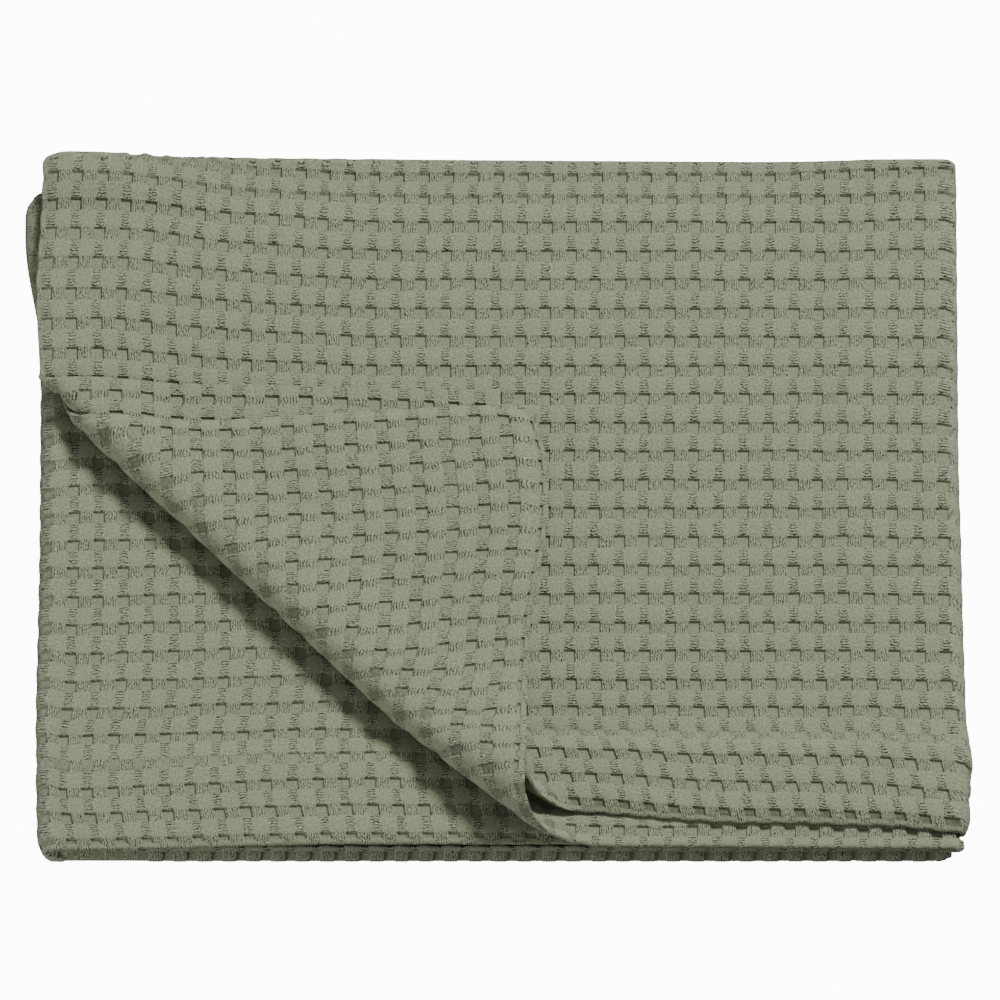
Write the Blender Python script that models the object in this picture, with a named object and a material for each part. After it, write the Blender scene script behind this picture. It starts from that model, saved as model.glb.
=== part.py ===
"""Waffle weave cotton blanket, folded into a flat packet with one corner turned back.

One hemmed rectangle of cloth: doubled along its length (the back fold), then folded in
thirds like a letter, so six layers lie on each other.  The two uppermost layers are
turned back together along a diagonal, a little looser towards the front.
Units are metres, +Z is up, the front edges of the packet lie towards -Y.
"""
import math

import bmesh
import bpy
import numpy as np
from mathutils import Vector, geometry

# cloth
BODY_T = 0.0024         # thickness of the single waffle cloth
HEM_T = 0.0030          # thickness of the turned and stitched hem
HEM_W = 0.0400          # width of the hem along every edge
AIR = 0.0007            # air between two neighbouring layers
EDGE_ROUND = 0.0011     # how far the flat faces stop before the rounded rim

# flat lengths along the packet's width (thirds) and across it
TOP_RUN = 0.3620
FOLD_RUN = 0.0100
MIDDLE_RUN = 0.3560
BOTTOM_RUN = 0.3580
CLOTH_L = TOP_RUN + FOLD_RUN + MIDDLE_RUN + FOLD_RUN + BOTTOM_RUN
UPPER_RUN = 0.2910
BACK_RUN = 0.0049
LOWER_RUN = 0.3020
CLOTH_W = UPPER_RUN + BACK_RUN + LOWER_RUN
V1 = TOP_RUN            # flat positions where the right and the left fold begin and end
V2 = V1 + FOLD_RUN
V3 = V2 + MIDDLE_RUN
V4 = V3 + FOLD_RUN
W1 = UPPER_RUN          # flat positions where the back fold begins and ends
W2 = UPPER_RUN + BACK_RUN

# packet outline, with Y measured from the front edges of the lower layers
BACK_Y = 0.2993         # back fold of the top third
LEFT_X = -0.1836        # left hem of the uppermost layer
UNDER_LEFT_X = -0.1752  # left hem of the layer below it
RIGHT_X = 0.1829        # right fold
FOLD_LEFT_X = -0.1837   # left fold of the lower layers
END_X = 0.1800          # right hem at the very bottom
FRONT_TOP = 0.0092      # front hem of the uppermost layer
MIDDLE_BACK = 0.0065    # the hidden front edges lie this far back
SECOND_BACK = 0.0075
DROP_RUN = 0.0300       # length over which a layer sinks behind the fold below
FRONT_FADE = 0.0600     # how far back the bends of a front edge are felt
SLACK = 0.985           # cloth taken up by its own waviness
CORNER_RUN = 0.0300     # size of the rounding of the turned free corner

# turned corner: the fold line is X + Y = const, with a tight and an open end
FOLD_SUM = 0.0228
FOLD_SUM_OPEN = 0.0416
OPEN_FROM = -0.0762     # where along the diagonal the loops begin to open
OPEN_TO = 0.0330        # and where they are fully open
OUTER_R = 0.0074        # radius of the outer loop
OUTER_R_OPEN = 0.0145
OUTER_LEAD = 0.0040     # the loop starts to rise this much earlier at the open end
OUTER_HANDLE = 0.5523   # fullness of its rising quarter; 0.5523 makes it circular
INNER_R = 0.0035        # the same for the loop inside it
INNER_R_OPEN = 0.0108
INNER_LEAD = 0.0069
INNER_HANDLE = 0.46
INNER_BACK = 0.0100     # how far the inner loop stays behind the outer one
REST_INNER = 0.0039     # height of the turned layers where they lie down again
REST_OUTER = 0.0113
SETTLE_RUN = 0.030      # length over which they come down to it
SETTLE_RUN_OPEN = 0.060

# steps of the faceted surface
LOOP_STEPS = 9          # facets round each loop
LOOP_PITCH = 0.0115     # spacing of points along the loop
BAND_GAP = 0.007        # room between the loop's points and the regular grid


def smooth(x):
    x = np.clip(x, 0.0, 1.0)
    return x * x * (3.0 - 2.0 * x)


def bell(x):
    return np.exp(-x * x)


# ---------------------------------------------------------------- outline of the packet
def top_left(y):
    return LEFT_X - 0.0021 * bell((y - 0.238) / 0.030)


def right_fold(y):
    spread = 0.0016 * smooth((0.20 - y) / 0.12) + 0.0008 * smooth((0.10 - y) / 0.04)
    return RIGHT_X + spread + 0.0026 * bell((y - 0.036) / 0.014) + 0.0012 * smooth((0.014 - y) / 0.012)


def left_fold(y):
    sway = -0.0012 * bell((y - 0.055) / 0.05) + 0.0007 * smooth((0.012 - y) / 0.012)
    bulge = 0.0068 * smooth((y - 0.212) / 0.055) - 0.0050 * smooth((y - 0.277) / 0.010)
    return FOLD_LEFT_X + sway - bulge


def back_top(x):
    left = 0.0019 * (1.0 - smooth((x + 0.165) / 0.05))
    return BACK_Y - left - 0.0011 * smooth((x - 0.11) / 0.04)


def back_bottom(x):
    return 0.268 + 0.016 * (1.0 - smooth((x + 0.180) / 0.09))


def back_middle(x):
    return 0.271 + 0.013 * (1.0 - smooth((x + 0.180) / 0.09)) + 0.0285 * smooth((x - 0.10) / 0.075)


def front_top(x):
    right = 0.0010 * smooth((x - 0.115) / 0.03) + 0.0040 * smooth((x - 0.148) / 0.045)
    return FRONT_TOP + 0.0050 * smooth((0.100 - x) / 0.08) - right


def front_under(x):
    return -0.0003 - 0.0008 * smooth((x - 0.060) / 0.100)


def front_fourth(x):
    return 0.0004 + 0.0026 * smooth((x + 0.178) / 0.12) - 0.0036 * smooth((x - 0.150) / 0.025)


# ---------------------------------------------------------------- heights of the layers
def hem_front(y):
    return 1.0 - smooth((y - 0.039) / 0.012)


def layer_pitch(k, x, y):
    hem = hem_front(y)
    if k >= 4:
        hem = np.maximum(hem, 1.0 - smooth((x + 0.145) / 0.012))
    if k <= 1:
        hem = np.maximum(hem, smooth((x - 0.128) / 0.012))
    return AIR + BODY_T + (HEM_T - BODY_T) * hem


def heights(x, y):
    """Mid-height of the six layers above a point of the table."""
    p = [layer_pitch(k, x, y) for k in range(6)]
    sink_b = 1.0 - smooth((y - back_bottom(x) - 0.001) / DROP_RUN)
    sink_m = 1.0 - smooth((y - back_middle(x) - 0.001) / DROP_RUN)
    base_mid = (p[0] + p[1]) * sink_b
    base_top = base_mid + (p[2] + p[3]) * sink_m
    z = [p[0] / 2, p[0] + p[1] / 2,
         base_mid + p[2] / 2, base_mid + p[2] + p[3] / 2,
         base_top + p[4] / 2, base_top + p[4] + p[5] / 2]
    return [h - AIR / 2 for h in z]


# ---------------------------------------------------------------- the turned corner
def loop_tables():
    """Cross-sections of the inner and outer loops for several degrees of opening.

    Each loop rises from the layer's flat part, turns by half a circle and settles.
    """
    s = np.arange(-0.024, 0.330, 0.0005)
    opening = np.linspace(0.0, 1.0, 17)
    tables = []
    for r0, r1, lead, rest, handle, set_back in (
            (INNER_R, INNER_R_OPEN, INNER_LEAD, REST_INNER, INNER_HANDLE, INNER_BACK),
            (OUTER_R, OUTER_R_OPEN, OUTER_LEAD, REST_OUTER, OUTER_HANDLE, 0.0)):
        out_all = []
        up_all = []
        ends = []
        for o in opening:
            r = r0 + (r1 - r0) * o
            m = lead * o
            run = SETTLE_RUN + (SETTLE_RUN_OPEN - SETTLE_RUN) * o
            q = np.linspace(0.0, 1.0, 60)
            k = 0.5523
            rise = k + (handle - k) * o
            c = set_back * o
            bx = [-m, -m + k * (r - c + m), r - c, r - c]
            bz = [0.0, 0.0, r - rise * r, r]
            w = [(1 - q) ** 3, 3 * q * (1 - q) ** 2, 3 * q * q * (1 - q), q ** 3]
            out = sum(a * b for a, b in zip(bx, w))
            up = sum(a * b for a, b in zip(bz, w))
            a = np.linspace(0.0, math.pi / 2, 40)[1:]
            out = np.concatenate((out, r * np.cos(a) - c))
            up = np.concatenate((up, r + r * np.sin(a)))
            d = np.linspace(0.0, 0.30, 301)[1:]
            out = np.concatenate(([-0.1], out, -c - d))
            up = np.concatenate(([0.0], up, rest + (2 * r - rest) * (1 - smooth(d / run))))
            arc = np.concatenate(([0.0], np.cumsum(np.hypot(np.diff(out), np.diff(up)))))
            arc = arc - 0.1
            out_all.append(np.interp(s, arc, out))
            up_all.append(np.interp(s, arc, up))
            ends.append(arc[len(q) + len(a)])
        tables.append((np.array(out_all), np.array(up_all), np.array(ends)))
    return s, opening, tables


LOOP_S, LOOP_O, LOOPS = loop_tables()


def read_loop(table, s, o):
    fi = np.clip((s - LOOP_S[0]) / (LOOP_S[1] - LOOP_S[0]), 0, len(LOOP_S) - 1.001)
    fo = np.clip(o * (len(LOOP_O) - 1), 0, len(LOOP_O) - 1.001)
    i = fi.astype(int)
    j = fo.astype(int)
    a = fi - i
    b = fo - j
    low = table[j, i] * (1 - a) + table[j, i + 1] * a
    high = table[j + 1, i] * (1 - a) + table[j + 1, i + 1] * a
    return low * (1 - b) + high * b


def opening_at(x, y):
    along = (x - y) / math.sqrt(2.0)
    return smooth((along - OPEN_FROM) / (OPEN_TO - OPEN_FROM))


def past_fold(x, y):
    total = FOLD_SUM + (FOLD_SUM_OPEN - FOLD_SUM) * opening_at(x, y)
    return (total - x - y) / math.sqrt(2.0)


def turn_corner(x, y, top):
    """Carry points of the two upper layers over the diagonal; top marks the uppermost."""
    s = past_fold(x, y)
    o = opening_at(x, y)
    out = np.where(top, read_loop(LOOPS[0][0], s, o), read_loop(LOOPS[1][0], s, o))
    up = np.where(top, read_loop(LOOPS[0][1], s, o), read_loop(LOOPS[1][1], s, o))
    near = s < -0.022
    out = np.where(near, s, out)
    up = np.where(near, 0.0, up)
    shift = (s - out) / math.sqrt(2.0)
    nx = x + shift
    ny = y + shift
    on_flap = smooth(-out / 0.03) * (s > 0.003)
    lean = smooth((ny - 0.055) / 0.125) * np.clip((nx + 0.13) / 0.14, 0.0, 1.2)
    rise = smooth((nx + 0.13) / 0.16)
    spread = 0.0044 * smooth(ny / 0.075) + 0.0030 * bell((ny - 0.130) / 0.028)
    spread = spread * smooth((nx + 0.13) / 0.13) * smooth((s - 0.018) / 0.024)
    dx = np.where(top, 0.0, 0.0084) * lean
    dip = 0.0013 * bell((nx + 0.132) / 0.035)
    dy = np.where(top, -0.0030, 0.0074) * rise
    dy = dy - np.where(top, 0.0014 * smooth((nx + 0.165) / 0.04), dip * smooth((ny - 0.10) / 0.07))
    nx = nx + on_flap * dx + np.where(top, 0.0, spread)
    ny = ny + on_flap * dy
    sag = 0.0034 * smooth((nx - 0.0085) / 0.008) * smooth((ny - 0.07) / 0.05)
    up = up - np.where(top, 0.0, on_flap * sag)
    return nx, ny, up


# ---------------------------------------------------------------- flat cloth to folded packet
def section(v, y, plus):
    """X and Z of the cloth for a length v along the thirds, at the depth y."""
    pitch = AIR + BODY_T + (HEM_T - BODY_T) * hem_front(y)
    half = (pitch - AIR) / 2
    right_c = right_fold(y) - 1.5 * pitch - half
    left_c = left_fold(y) + 1.5 * pitch + half
    start = np.where(plus, top_left(y), UNDER_LEFT_X)
    x = np.where(v < V2, start + (right_c - start) * np.clip(v / V1, 0, 1),
                 right_c + (left_c - right_c) * np.clip((v - V2) / MIDDLE_RUN, 0, 1))
    x = np.where(v > V4, left_c + (END_X - left_c) * (v - V4) / BOTTOM_RUN, x)
    h = heights(x, y)
    upper = np.where(plus, h[5], h[4])
    middle = np.where(plus, h[2], h[3])
    lower = np.where(plus, h[1], h[0])
    z = np.where(v < V1, upper, np.where(v < V3, middle, lower))
    # right fold joins the top third to the middle third
    a = np.clip((v - V1) / FOLD_RUN, 0, 1) * math.pi
    in_right = (v >= V1) & (v <= V2)
    hr = heights(right_c, y)
    hi = np.where(plus, hr[5], hr[4])
    lo = np.where(plus, hr[2], hr[3])
    reach = np.where(plus, 1.5, 0.5) * pitch
    x = np.where(in_right, right_c + reach * np.sin(a), x)
    z = np.where(in_right, (hi + lo) / 2 + (hi - lo) / 2 * np.cos(a), z)
    # left fold joins the middle third to the bottom third
    a = np.clip((v - V3) / FOLD_RUN, 0, 1) * math.pi
    in_left = (v >= V3) & (v <= V4)
    hl = heights(left_c, y)
    hi = np.where(plus, hl[2], hl[3])
    lo = np.where(plus, hl[1], hl[0])
    reach = np.where(plus, 0.5, 1.5) * pitch
    x = np.where(in_left, left_c - reach * np.sin(a), x)
    z = np.where(in_left, (hi + lo) / 2 + (hi - lo) / 2 * np.cos(a), z)
    return x, z


def nominal_x(v):
    x = np.where(v < V2, -0.182 + 0.360 * np.clip(v / TOP_RUN, 0, 1),
                 0.178 - 0.356 * np.clip((v - V2) / MIDDLE_RUN, 0, 1))
    return np.where(v > V4, -0.178 + 0.358 * (v - V4) / BOTTOM_RUN, x)


def ease_in(d, run, span):
    """Distance from the front edge: true to length in front, drawn together at the back."""
    t = np.clip(d / run, 0.0, 1.2)
    slope = np.minimum(run * SLACK / span, 1.25)
    return span * (slope * t + (1.0 - slope) * t ** 4)


def round_corner(v, w, x, y):
    """The free corner of the turned flap is rounded off."""
    soft = 1.0 - smooth((v + CLOTH_W - w) / CORNER_RUN)
    return x - 0.0040 * soft, y - 0.0034 * soft


def place(v, w):
    """Folded position of the cloth point (v, w)."""
    v = np.asarray(v, float)
    w = np.asarray(w, float)
    xn = nominal_x(v)
    in_top = v <= TOP_RUN
    part_m = smooth((v - V1) / FOLD_RUN)
    part_b = smooth((v - V3) / FOLD_RUN)
    back_t = back_top(xn)
    back_m = back_middle(xn)
    back = back_t + (back_m - back_t) * part_m + (back_bottom(xn) - back_m) * part_b
    front_p = front_top(xn) * (1 - part_m) + (MIDDLE_BACK + (SECOND_BACK - MIDDLE_BACK) * part_b) * part_m
    front_m = front_under(xn) * (1 - part_m) + front_fourth(xn) * part_m * (1 - part_b)
    r = (AIR + BODY_T) / 2
    turn = back - r
    plus = w < UPPER_RUN + BACK_RUN / 2
    d = np.where(plus, w, CLOTH_W - w)
    run = np.where(plus, UPPER_RUN, LOWER_RUN)
    front = np.where(plus, front_p, front_m)
    level = np.where(plus, FRONT_TOP * (1 - part_m), 0.0)
    y = level + ease_in(d, run, turn - level) + (front - level) * (1 - smooth(d / FRONT_FADE))
    y = np.minimum(y, turn)
    x, z = section(v, y, plus)
    # the diagonal turn of the top third
    nx, ny, up = turn_corner(x, y, plus)
    round_x, round_y = round_corner(v, w, nx, ny)
    nx = np.where(plus, nx, round_x)
    ny = np.where(plus, ny, round_y)
    bent = in_top & (d < run)
    h = heights(nx, ny)
    nz = np.where(plus, h[5], h[4]) + up
    x = np.where(bent, nx, x)
    y = np.where(bent, ny, y)
    z = np.where(bent, nz, z)
    # the back fold joins the two sides of the doubled cloth
    in_back = (w > W1) & (w < W2)
    xp, zp = section(v, turn, np.ones_like(plus))
    xm, zm = section(v, turn, np.zeros_like(plus))
    a = np.clip((w - W1) / BACK_RUN, 0, 1) * math.pi
    c = np.cos(a)
    gap = np.hypot(xp - xm, zp - zm) / 2
    x = np.where(in_back, (xp + xm) / 2 + (xp - xm) / 2 * c, x)
    z = np.where(in_back, (zp + zm) / 2 + (zp - zm) / 2 * c, z)
    y = np.where(in_back, turn + gap * np.sin(a), y)
    return np.stack((x, y, z), axis=-1)


def thickness(v, w):
    edge = np.minimum(np.minimum(v, CLOTH_L - v), np.minimum(w, CLOTH_W - w))
    return BODY_T + (HEM_T - BODY_T) * (1 - smooth((edge - HEM_W + 0.001) / 0.003))


def normals(v, w):
    e = 0.0002
    pv = place(v + e, w) - place(v - e, w)
    pw = place(v, w + e) - place(v, w - e)
    n = np.cross(pv, pw)
    return n / np.linalg.norm(n, axis=-1, keepdims=True)


# ---------------------------------------------------------------- points of the flat cloth
def plan_to_flat(x, y, top):
    """Flat coordinates of a point of the top third given before the corner is turned."""
    v = (x + 0.182) / 0.360 * TOP_RUN
    run = UPPER_RUN if top else LOWER_RUN
    d = y - FRONT_TOP
    for _ in range(12):
        xn = nominal_x(v)
        turn = back_top(xn) - (AIR + BODY_T) / 2
        front = front_top(xn) if top else front_under(xn)
        at = FRONT_TOP + ease_in(d, run, turn - FRONT_TOP)
        at = at + (front - FRONT_TOP) * (1 - smooth(d / FRONT_FADE))
        d = d + y - at
        start = top_left(y) if top else UNDER_LEFT_X
        pitch = AIR + BODY_T + (HEM_T - BODY_T) * hem_front(y)
        right_c = right_fold(y) - 1.5 * pitch - (pitch - AIR) / 2
        v = (x - start) / (right_c - start) * TOP_RUN
    return v, d if top else CLOTH_W - d


def bend_lines(top):
    """Lines of cloth points that run along the diagonal loop."""
    rows = []
    lead = INNER_LEAD if top else OUTER_LEAD
    ends = LOOPS[0][2] if top else LOOPS[1][2]
    t = np.arange(-0.2600, 0.1500, 0.0005)
    o = smooth((t - OPEN_FROM) / (OPEN_TO - OPEN_FROM))
    first = -lead * o
    last = np.interp(o, LOOP_O, ends)
    total = FOLD_SUM + (FOLD_SUM_OPEN - FOLD_SUM) * o
    stations = [first - 0.006]
    stations += [first + (last - first) * k / LOOP_STEPS for k in range(LOOP_STEPS + 1)]
    stations += [last + settle for settle in (0.010, 0.024, 0.042)]
    for s in stations:
        x = (total - math.sqrt(2) * s + math.sqrt(2) * t) / 2
        y = (total - math.sqrt(2) * s - math.sqrt(2) * t) / 2
        rows.append(plan_to_flat(x, y, top))
    return rows


def clip_line(v, w, step, low_w, high_w):
    """Resample a line between the hem edges, ends exactly on the flat faces' border."""
    low_v = EDGE_ROUND
    inside = np.nonzero((v > low_v) & (w > low_w) & (w < high_w))[0]
    if len(inside) < 2:
        return []

    def cross(a, b):
        for axis, lim in ((0, low_v), (1, low_w), (1, high_w)):
            d0 = a[axis] - lim
            d1 = b[axis] - lim
            if d0 * d1 < 0:
                f = d0 / (d0 - d1)
                p = [a[0] + (b[0] - a[0]) * f, a[1] + (b[1] - a[1]) * f]
                p[axis] = lim
                return tuple(p)
        return a
    i0 = inside[0]
    i1 = inside[-1]
    pts = [(v[i], w[i]) for i in range(i0, i1 + 1)]
    if i0 > 0:
        pts.insert(0, cross(pts[0], (v[i0 - 1], w[i0 - 1])))
    if i1 + 1 < len(v):
        pts.append(cross(pts[-1], (v[i1 + 1], w[i1 + 1])))
    pts = np.array(pts)
    run = np.concatenate(([0], np.cumsum(np.hypot(*np.diff(pts, axis=0).T))))
    n = max(2, int(round(run[-1] / step)))
    at = np.linspace(0, run[-1], n + 1)
    return list(zip(np.interp(at, run, pts[:, 0]), np.interp(at, run, pts[:, 1])))


def grid_lines():
    """Regular lines of the flat cloth: close at the hems and folds, wide between them."""
    e = EDGE_ROUND
    seam = [HEM_W - 0.001, HEM_W + 0.002]
    w_up = [e] + seam + [0.070, 0.100, 0.130, 0.160, 0.190, 0.215, 0.238, 0.254, 0.263, 0.272, 0.281, W1]
    arc = [W1 + BACK_RUN * k / 6 for k in range(1, 6)]
    k = LOWER_RUN / UPPER_RUN
    w_low = [W2 + LOWER_RUN - a * k if a > HEM_W + 0.003 else CLOTH_W - a for a in w_up]
    w_lines = w_up + arc + sorted(w_low)
    v_top = [e] + seam + [0.068, 0.092, 0.116, 0.140, 0.164, 0.188, 0.212, 0.240, 0.268, 0.298, 0.330, V1]
    arc1 = [V1 + FOLD_RUN * k / 6 for k in range(1, 6)]
    v_mid = [V2] + [V2 + a for a in (0.018, 0.036, 0.056, 0.085, 0.135, 0.190, 0.240, 0.285, 0.320)] + [V3]
    arc2 = [V3 + FOLD_RUN * k / 6 for k in range(1, 6)]
    v_bot = [V4] + [V4 + a for a in (0.036, 0.071, 0.120, 0.180, 0.240, 0.285)]
    v_bot = v_bot + [CLOTH_L - s for s in reversed(seam)] + [CLOTH_L - e]
    return v_top + arc1 + v_mid + arc2 + v_bot, w_lines


def in_band(v, w, lines):
    """True where the loop's own lines take the place of the regular grid."""
    if not v < V1 or W1 - 1e-9 < w < W2 + 1e-9:
        return False
    top = w < W1
    first = np.array(lines[0])
    last = np.array(lines[-1])
    if not v < first[:, 0].max() + 0.006:
        return False
    wf = np.interp(v, *first[np.argsort(first[:, 0])].T)
    wl = np.interp(v, *last[np.argsort(last[:, 0])].T)
    a = min(wf, wl) - BAND_GAP
    b = max(wf, wl) + BAND_GAP
    if v > last[:, 0].max():
        a, b = (-1, wf + BAND_GAP) if top else (wf - BAND_GAP, 9)
    return a < w < b


def flat_mesh():
    """Triangles of the flat cloth, denser where it bends."""
    v_lines, w_lines = grid_lines()
    pts = []
    index = {}
    edges = []

    def add(v, w):
        key = (round(v, 6), round(w, 6))
        if key not in index:
            index[key] = len(pts)
            pts.append((v, w))
        return index[key]

    fans = []
    for top in (True, False):
        lo = EDGE_ROUND if top else W2 + 0.02
        hi = W1 - 0.02 if top else CLOTH_W - EDGE_ROUND
        fans.append([clip_line(v, w, LOOP_PITCH, lo, hi) for v, w in bend_lines(top)])
    # regular points, fewer in the hidden layers, none inside the diagonal bands
    grid = {}
    sparse = [w for k, w in enumerate(w_lines) if k in (3, 5, 7) or len(w_lines) - 1 - k in (3, 5, 7)]
    for v in v_lines:
        for w in w_lines:
            hidden = v > V1 + 0.012 and w in sparse
            if not hidden and not in_band(v, w, fans[0] if w < W1 else fans[1]):
                grid[(v, w)] = add(v, w)
    for lines in fans:
        for line in lines:
            ids = [add(v, w) for v, w in line]
            edges += [(a, b) for a, b in zip(ids[:-1], ids[1:]) if a != b]
    # the folds follow straight lines of the cloth
    arc_v = [v for v in v_lines if V1 - 1e-9 <= v <= V2 + 1e-9 or V3 - 1e-9 <= v <= V4 + 1e-9]
    for v in arc_v:
        ids = [grid[(v, w)] for w in w_lines if (v, w) in grid]
        edges += list(zip(ids[:-1], ids[1:]))
    for w in [w for w in w_lines if W1 - 1e-9 <= w <= W2 + 1e-9]:
        ids = [grid[(v, w)] for v in v_lines if (v, w) in grid]
        edges += list(zip(ids[:-1], ids[1:]))
    scale = 100.0
    coords = [Vector((v * scale, w * scale)) for v, w in pts]
    out = geometry.delaunay_2d_cdt(coords, edges, [], 0, 1e-6)
    flat = np.array([(p.x / scale, p.y / scale) for p in out[0]])
    faces = []
    for f in out[2]:
        a, b, c = [flat[i] for i in f]
        area = (b[0] - a[0]) * (c[1] - a[1]) - (b[1] - a[1]) * (c[0] - a[0])
        if abs(area) > 1e-10:
            faces.append(tuple(f) if area > 0 else (f[0], f[2], f[1]))
    return flat, faces


def rim_order(faces):
    """Border vertices of the triangulation in order."""
    seen = set()
    for f in faces:
        seen.update(((f[0], f[1]), (f[1], f[2]), (f[2], f[0])))
    follow = {a: b for a, b in sorted(seen) if (b, a) not in seen}
    start = min(follow)
    ring = [start]
    while follow[ring[-1]] != start:
        ring.append(follow[ring[-1]])
    return ring


def build_blanket():
    """The closed solid: both faces of the folded cloth, joined by a rounded rim."""
    flat, faces = flat_mesh()
    v = flat[:, 0]
    w = flat[:, 1]
    mid = place(v, w)
    half = normals(v, w) * thickness(v, w)[:, None] / 2
    ring = rim_order(faces)
    rv = v[ring]
    rw = w[ring]
    near = EDGE_ROUND + 1e-6
    rv = np.where(rv < near, 0.0, np.where(rv > CLOTH_L - near, CLOTH_L, rv))
    rw = np.where(rw < near, 0.0, np.where(rw > CLOTH_W - near, CLOTH_W, rw))
    verts = np.concatenate((mid + half, mid - half, place(rv, rw)))
    # the underside of the bottom layer lies flat
    verts[verts[:, 2] < 0.0006, 2] = 0.0
    n = len(flat)
    tris = [tuple(f) for f in faces] + [(f[0] + n, f[2] + n, f[1] + n) for f in faces]
    m = len(ring)
    for i in range(m):
        j = (i + 1) % m
        a, b = ring[i], ring[j]
        ra, rb = 2 * n + i, 2 * n + j
        tris += [(b, a, ra), (b, ra, rb), (a + n, b + n, ra), (b + n, rb, ra)]
    centre = (verts.max(axis=0) + verts.min(axis=0)) / 2
    verts[:, :2] -= centre[:2]
    mesh = bpy.data.meshes.new("blanket")
    mesh.from_pydata([tuple(p) for p in verts], [], tris)
    mesh.validate()
    mesh.update()
    obj = bpy.data.objects.new("blanket", mesh)
    bpy.context.scene.collection.objects.link(obj)
    bm = bmesh.new()
    bm.from_mesh(mesh)
    bmesh.ops.recalc_face_normals(bm, faces=bm.faces)
    bm.to_mesh(mesh)
    bm.free()
    return obj


def cotton():
    mat = bpy.data.materials.new("cotton")
    mat.use_nodes = True
    shader = mat.node_tree.nodes["Principled BSDF"]
    shader.inputs["Base Color"].default_value = (0.27, 0.29, 0.20, 1.0)
    shader.inputs["Roughness"].default_value = 0.95
    return mat


for old in list(bpy.data.objects):
    bpy.data.objects.remove(old, do_unlink=True)
blanket = build_blanket()
blanket.data.materials.append(cotton())
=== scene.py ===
"""Dressed scene of the folded waffle weave cotton blanket.

The cloth is one hemmed rectangle: doubled along its length, folded in thirds, with the
corner of the two upper layers turned back.  It is built here as thin closed sheets, one
for each layer, that follow the folds of the solid and carry the weave as relief.
Units are metres, +Z is up, the front edges of the packet lie towards -Y.
"""
import math

import bpy
import numpy as np
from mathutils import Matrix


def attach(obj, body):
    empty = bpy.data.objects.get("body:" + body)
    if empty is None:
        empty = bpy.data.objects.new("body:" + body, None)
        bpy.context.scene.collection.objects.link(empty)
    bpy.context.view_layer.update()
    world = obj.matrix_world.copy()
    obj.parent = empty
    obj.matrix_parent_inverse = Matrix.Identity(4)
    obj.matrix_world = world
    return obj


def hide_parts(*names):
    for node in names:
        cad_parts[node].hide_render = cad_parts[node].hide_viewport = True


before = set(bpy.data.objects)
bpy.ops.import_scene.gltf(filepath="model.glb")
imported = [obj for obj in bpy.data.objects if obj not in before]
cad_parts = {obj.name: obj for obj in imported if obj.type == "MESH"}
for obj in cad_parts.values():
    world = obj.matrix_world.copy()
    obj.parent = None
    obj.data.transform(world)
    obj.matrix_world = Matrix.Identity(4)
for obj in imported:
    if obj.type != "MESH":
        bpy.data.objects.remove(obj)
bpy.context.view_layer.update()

# cloth
BODY_T = 0.0024
HEM_T = 0.0030
HEM_W = 0.0400
AIR = 0.0007            # between two layers

# flat lengths along the packet's width (thirds) and across it
TOP_RUN = 0.3620
FOLD_RUN = 0.0100
MIDDLE_RUN = 0.3560
BOTTOM_RUN = 0.3580
CLOTH_L = TOP_RUN + FOLD_RUN + MIDDLE_RUN + FOLD_RUN + BOTTOM_RUN
UPPER_RUN = 0.2910      # the side that ends on top, along the front
BACK_RUN = 0.0049
LOWER_RUN = 0.3020
CLOTH_W = UPPER_RUN + BACK_RUN + LOWER_RUN

# packet outline, with Y measured from the front edges of the lower layers
CENTRE_X = -0.00157449
CENTRE_Y = 0.15085018
BACK_Y = 0.2993
LEFT_X = -0.1836
UNDER_LEFT_X = -0.1752
RIGHT_X = 0.1829
FOLD_LEFT_X = -0.1837
END_X = 0.1800
FRONT_TOP = 0.0092
DROP_RUN = 0.0300
LIP_Y = 0.0032          # where the lowest layer starts to roll up along the front
LIP_R = 0.0022
LIP_TURN = math.radians(114.0)
LIP_RISE = 0.0052
MIDDLE_BACK = 0.0065    # the hidden front edges lie this far back
SECOND_BACK = 0.0075
FRONT_FADE = 0.060      # how far back the bends of a front edge are felt

# turned corner: X + Y on the fold line, and how the roll opens from its tip to the front
FOLD_SUM = 0.0228
FOLD_SUM_OPEN = 0.0416
OPEN_FROM = -0.0762
OPEN_TO = 0.0330
OUTER_R = 0.0074
OUTER_R_OPEN = 0.0145
INNER_R = 0.0035
INNER_R_OPEN = 0.0108
INNER_LEAD = 0.0069
OUTER_LEAD = 0.0040
INNER_HANDLE = 0.46
INNER_BACK = 0.0100
OUTER_HANDLE = 0.5523
REST_INNER = 0.0039
REST_OUTER = 0.0113
SETTLE_RUN = 0.030
SETTLE_RUN_OPEN = 0.060
QUARTER = 0.5523        # handle of a Bezier curve that follows a quarter circle
CORNER_RUN = 0.030      # the flap's free corner is rounded off within this distance
CORNER_X = 0.0040
CORNER_Y = 0.0034

# waffle weave: one repeat is a recess, two ribbed blocks and a smooth pillow
REPEAT_V = 0.00984
REPEAT_W = 0.01234
RECESS_V = 0.447        # share of the repeat taken by the recess along v
RECESS_W = 0.405        # and along w
RECESS_DEPTH = 0.00098
LOOP_DEPTH = 0.45       # share of that depth on the bend of the loop
LIP_DEPTH = 1.15        # and along the rolled lip
BACK_DEPTH = 0.40       # share added to it beside the back fold
SEAM_ROW = 0.0380       # distance from a border to the row of recesses under its seam
WALL = 0.022            # half the width of a recess wall, as a share of the repeat
LINES_V = (WALL, 0.22, RECESS_V - WALL, RECESS_V + WALL, 0.58, 0.72, 0.86, 1.0 - WALL)
LINES_W = (WALL, 0.20, RECESS_W - WALL, RECESS_W + WALL, 0.56, 0.70, 0.84, 1.0 - WALL)
RIM = (0.0, 0.00025, 0.0007, 0.0014, 0.0020, 0.0026)
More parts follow.
